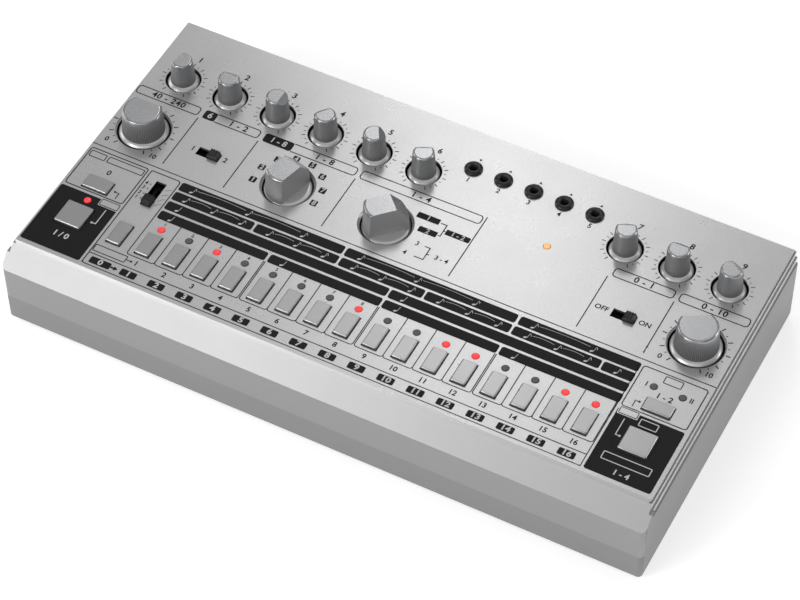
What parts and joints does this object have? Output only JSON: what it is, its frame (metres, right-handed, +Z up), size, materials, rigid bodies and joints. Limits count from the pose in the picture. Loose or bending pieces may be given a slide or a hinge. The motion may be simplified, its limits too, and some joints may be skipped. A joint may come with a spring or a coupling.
{
  "type": "drum machine",
  "caption": "Flat desktop drum machine: sloping-edged metal panel with dials, selectors, sliders, step buttons, lights and small jacks on a stepped plastic case.",
  "frame": {"origin": "centre of the bottom of the whole machine, on the surface the rubber feet stand on", "axes": "+X to the player's right, +Y to the back where the sockets are, +Z up"},
  "size_m": [0.305, 0.165, 0.056],
  "materials": {
    "panel_paint": "silver grey metallic paint with black print",
    "case_upper_plastic": "silver grey paint on plastic",
    "case_lower_plastic": "silver grey paint on plastic",
    "rear_plastic": "fine texture",
    "foot_rubber": "matte",
    "screw_steel": "satin",
    "board_laminate": "satin solder mask",
    "component_plastic": "satin",
    "step_lens": "translucent red",
    "status_lens": "translucent",
    "socket_plastic": "satin black",
    "usb_shell": "bright",
    "nut_black": "satin black",
    "knob_plastic": "fine-grain silver grey",
    "selector_plastic": "fine-grain silver grey",
    "button_plastic": "satin grey",
    "slider_plastic": "satin black"
  },
  "bodies": {
    "case": {"control_panel": "panel_paint", "upper_case": "case_upper_plastic", "bottom_case": "case_lower_plastic", "base_plate": "case_lower_plastic", "case_posts": "case_lower_plastic", "rear_panel": "rear_plastic", "rubber_feet": "foot_rubber", "screws": "screw_steel", "main_board": "board_laminate", "jack_board": "board_laminate", "rotary_controls": "component_plastic", "tact_switches": "component_plastic", "slide_switches": "component_plastic", "step_leds": "step_lens", "status_leds": "status_lens", "panel_jacks": "socket_plastic", "jack_nuts": "nut_black", "voice_output_jacks": "socket_plastic", "main_output_jack": "socket_plastic", "midi_sockets": "socket_plastic", "usb_socket": "usb_shell", "dc_inlet": "socket_plastic"},
    "knob_accent": {"knob_accent": "knob_plastic"},
    "knob_bass_drum": {"knob_bass_drum": "knob_plastic"},
    "knob_snare_drum": {"knob_snare_drum": "knob_plastic"},
    "knob_tom": {"knob_tom": "knob_plastic"},
    "knob_cymbal": {"knob_cymbal": "knob_plastic"},
    "knob_hi_hat": {"knob_hi_hat": "knob_plastic"},
    "knob_distortion": {"knob_distortion": "knob_plastic"},
    "knob_tone": {"knob_tone": "knob_plastic"},
    "knob_level": {"knob_level": "knob_plastic"},
    "knob_tempo": {"knob_tempo": "knob_plastic"},
    "knob_volume": {"knob_volume": "knob_plastic"},
    "selector_instrument": {"selector_instrument": "selector_plastic"},
    "selector_mode": {"selector_mode": "selector_plastic"},
    "slider_voice_select": {"slider_voice_select": "slider_plastic"},
    "slider_scale": {"slider_scale": "slider_plastic"},
    "slider_distortion": {"slider_distortion": "slider_plastic"},
    "slider_power": {"slider_power": "slider_plastic"},
    "button_start_stop": {"button_start_stop": "button_plastic"},
    "button_clear": {"button_clear": "button_plastic"},
    "button_function": {"button_function": "button_plastic"},
    "button_step_01": {"button_step_01": "button_plastic"},
    "button_step_02": {"button_step_02": "button_plastic"},
    "button_step_03": {"button_step_03": "button_plastic"},
    "button_step_04": {"button_step_04": "button_plastic"},
    "button_step_05": {"button_step_05": "button_plastic"},
    "button_step_06": {"button_step_06": "button_plastic"},
    "button_step_07": {"button_step_07": "button_plastic"},
    "button_step_08": {"button_step_08": "button_plastic"},
    "button_step_09": {"button_step_09": "button_plastic"},
    "button_step_10": {"button_step_10": "button_plastic"},
    "button_step_11": {"button_step_11": "button_plastic"},
    "button_step_12": {"button_step_12": "button_plastic"},
    "button_step_13": {"button_step_13": "button_plastic"},
    "button_step_14": {"button_step_14": "button_plastic"},
    "button_step_15": {"button_step_15": "button_plastic"},
    "button_step_16": {"button_step_16": "button_plastic"},
    "button_pattern_group": {"button_pattern_group": "button_plastic"},
    "button_write_next": {"button_write_next": "button_plastic"}
  },
  "joints": [
    {"name": "accent_turn", "type": "hinge", "parent": "case", "child": "knob_accent", "pos_m": [-0.13405, 0.0432, 0.0432], "axis": [0, 0, 1], "range_deg": [-231, 69]},
    {"name": "bass_drum_turn", "type": "hinge", "parent": "case", "child": "knob_bass_drum", "pos_m": [-0.1097, 0.0432, 0.0432], "axis": [0, 0, 1], "range_deg": [-150, 150]},
    {"name": "snare_drum_turn", "type": "hinge", "parent": "case", "child": "knob_snare_drum", "pos_m": [-0.0853, 0.0432, 0.0432], "axis": [0, 0, 1], "range_deg": [-60, 240]},
    {"name": "tom_turn", "type": "hinge", "parent": "case", "child": "knob_tom", "pos_m": [-0.0609, 0.0432, 0.0432], "axis": [0, 0, 1], "range_deg": [-204, 96]},
    {"name": "cymbal_turn", "type": "hinge", "parent": "case", "child": "knob_cymbal", "pos_m": [-0.0365, 0.0432, 0.0432], "axis": [0, 0, 1], "range_deg": [-90, 210]},
    {"name": "hi_hat_turn", "type": "hinge", "parent": "case", "child": "knob_hi_hat", "pos_m": [-0.012, 0.0432, 0.0432], "axis": [0, 0, 1], "range_deg": [-176, 124]},
    {"name": "distortion_turn", "type": "hinge", "parent": "case", "child": "knob_distortion", "pos_m": [0.0852, 0.0432, 0.0432], "axis": [0, 0, 1], "range_deg": [-173, 127]},
    {"name": "tone_turn", "type": "hinge", "parent": "case", "child": "knob_tone", "pos_m": [0.1096, 0.0432, 0.0432], "axis": [0, 0, 1], "range_deg": [-150, 150]},
    {"name": "level_turn", "type": "hinge", "parent": "case", "child": "knob_level", "pos_m": [0.134, 0.0432, 0.0432], "axis": [0, 0, 1], "range_deg": [-116, 184]},
    {"name": "tempo_turn", "type": "hinge", "parent": "case", "child": "knob_tempo", "pos_m": [-0.1344, 0.0089, 0.0432], "axis": [0, 0, 1], "range_deg": [-150, 150]},
    {"name": "volume_turn", "type": "hinge", "parent": "case", "child": "knob_volume", "pos_m": [0.1338, 0.0088, 0.0432], "axis": [0, 0, 1], "range_deg": [-180, 120]},
    {"name": "instrument_select", "type": "hinge", "parent": "case", "child": "selector_instrument", "pos_m": [-0.0611, 0.0087, 0.0432], "axis": [0, 0, 1], "range_deg": [-90, 120]},
    {"name": "mode_select", "type": "hinge", "parent": "case", "child": "selector_mode", "pos_m": [-0.0126, 0.0087, 0.0432], "axis": [0, 0, 1], "range_deg": [-90, 0]},
    {"name": "voice_select_slide", "type": "slide", "parent": "case", "child": "slider_voice_select", "axis": [1, 0, 0], "range_m": [-0.005, 0]},
    {"name": "distortion_slide", "type": "slide", "parent": "case", "child": "slider_distortion", "axis": [1, 0, 0], "range_m": [-0.005, 0]},
    {"name": "scale_slide", "type": "slide", "parent": "case", "child": "slider_scale", "axis": [0, 1, 0], "range_m": [0, 0.009]},
    {"name": "power_slide", "type": "slide", "parent": "case", "child": "slider_power", "axis": [1, 0, 0], "range_m": [0, 0.004]},
    {"name": "start_stop_press", "type": "slide", "parent": "case", "child": "button_start_stop", "axis": [0, 0, 1], "range_m": [-0.0008, 0], "stiffness_N_per_m": 1500, "springref_m": 0.0005},
    {"name": "clear_press", "type": "slide", "parent": "case", "child": "button_clear", "axis": [0, 0, 1], "range_m": [-0.0008, 0], "stiffness_N_per_m": 1500, "springref_m": 0.0005},
    {"name": "function_press", "type": "slide", "parent": "case", "child": "button_function", "axis": [0, 0, 1], "range_m": [-0.0008, 0], "stiffness_N_per_m": 1500, "springref_m": 0.0005},
    {"name": "pattern_group_press", "type": "slide", "parent": "case", "child": "button_pattern_group", "axis": [0, 0, 1], "range_m": [-0.0008, 0], "stiffness_N_per_m": 1500, "springref_m": 0.0005},
    {"name": "write_next_press", "type": "slide", "parent": "case", "child": "button_write_next", "axis": [0, 0, 1], "range_m": [-0.0008, 0], "stiffness_N_per_m": 1500, "springref_m": 0.0005},
    {"name": "step_01_press", "type": "slide", "parent": "case", "child": "button_step_01", "axis": [0, 0, 1], "range_m": [-0.0008, 0], "stiffness_N_per_m": 1500, "springref_m": 0.0005},
    {"name": "step_02_press", "type": "slide", "parent": "case", "child": "button_step_02", "axis": [0, 0, 1], "range_m": [-0.0008, 0], "stiffness_N_per_m": 1500, "springref_m": 0.0005},
    {"name": "step_03_press", "type": "slide", "parent": "case", "child": "button_step_03", "axis": [0, 0, 1], "range_m": [-0.0008, 0], "stiffness_N_per_m": 1500, "springref_m": 0.0005},
    {"name": "step_04_press", "type": "slide", "parent": "case", "child": "button_step_04", "axis": [0, 0, 1], "range_m": [-0.0008, 0], "stiffness_N_per_m": 1500, "springref_m": 0.0005},
    {"name": "step_05_press", "type": "slide", "parent": "case", "child": "button_step_05", "axis": [0, 0, 1], "range_m": [-0.0008, 0], "stiffness_N_per_m": 1500, "springref_m": 0.0005},
    {"name": "step_06_press", "type": "slide", "parent": "case", "child": "button_step_06", "axis": [0, 0, 1], "range_m": [-0.0008, 0], "stiffness_N_per_m": 1500, "springref_m": 0.0005},
    {"name": "step_07_press", "type": "slide", "parent": "case", "child": "button_step_07", "axis": [0, 0, 1], "range_m": [-0.0008, 0], "stiffness_N_per_m": 1500, "springref_m": 0.0005},
    {"name": "step_08_press", "type": "slide", "parent": "case", "child": "button_step_08", "axis": [0, 0, 1], "range_m": [-0.0008, 0], "stiffness_N_per_m": 1500, "springref_m": 0.0005},
    {"name": "step_09_press", "type": "slide", "parent": "case", "child": "button_step_09", "axis": [0, 0, 1], "range_m": [-0.0008, 0], "stiffness_N_per_m": 1500, "springref_m": 0.0005},
    {"name": "step_10_press", "type": "slide", "parent": "case", "child": "button_step_10", "axis": [0, 0, 1], "range_m": [-0.0008, 0], "stiffness_N_per_m": 1500, "springref_m": 0.0005},
    {"name": "step_11_press", "type": "slide", "parent": "case", "child": "button_step_11", "axis": [0, 0, 1], "range_m": [-0.0008, 0], "stiffness_N_per_m": 1500, "springref_m": 0.0005},
    {"name": "step_12_press", "type": "slide", "parent": "case", "child": "button_step_12", "axis": [0, 0, 1], "range_m": [-0.0008, 0], "stiffness_N_per_m": 1500, "springref_m": 0.0005},
    {"name": "step_13_press", "type": "slide", "parent": "case", "child": "button_step_13", "axis": [0, 0, 1], "range_m": [-0.0008, 0], "stiffness_N_per_m": 1500, "springref_m": 0.0005},
    {"name": "step_14_press", "type": "slide", "parent": "case", "child": "button_step_14", "axis": [0, 0, 1], "range_m": [-0.0008, 0], "stiffness_N_per_m": 1500, "springref_m": 0.0005},
    {"name": "step_15_press", "type": "slide", "parent": "case", "child": "button_step_15", "axis": [0, 0, 1], "range_m": [-0.0008, 0], "stiffness_N_per_m": 1500, "springref_m": 0.0005},
    {"name": "step_16_press", "type": "slide", "parent": "case", "child": "button_step_16", "axis": [0, 0, 1], "range_m": [-0.0008, 0], "stiffness_N_per_m": 1500, "springref_m": 0.0005}
  ]
}
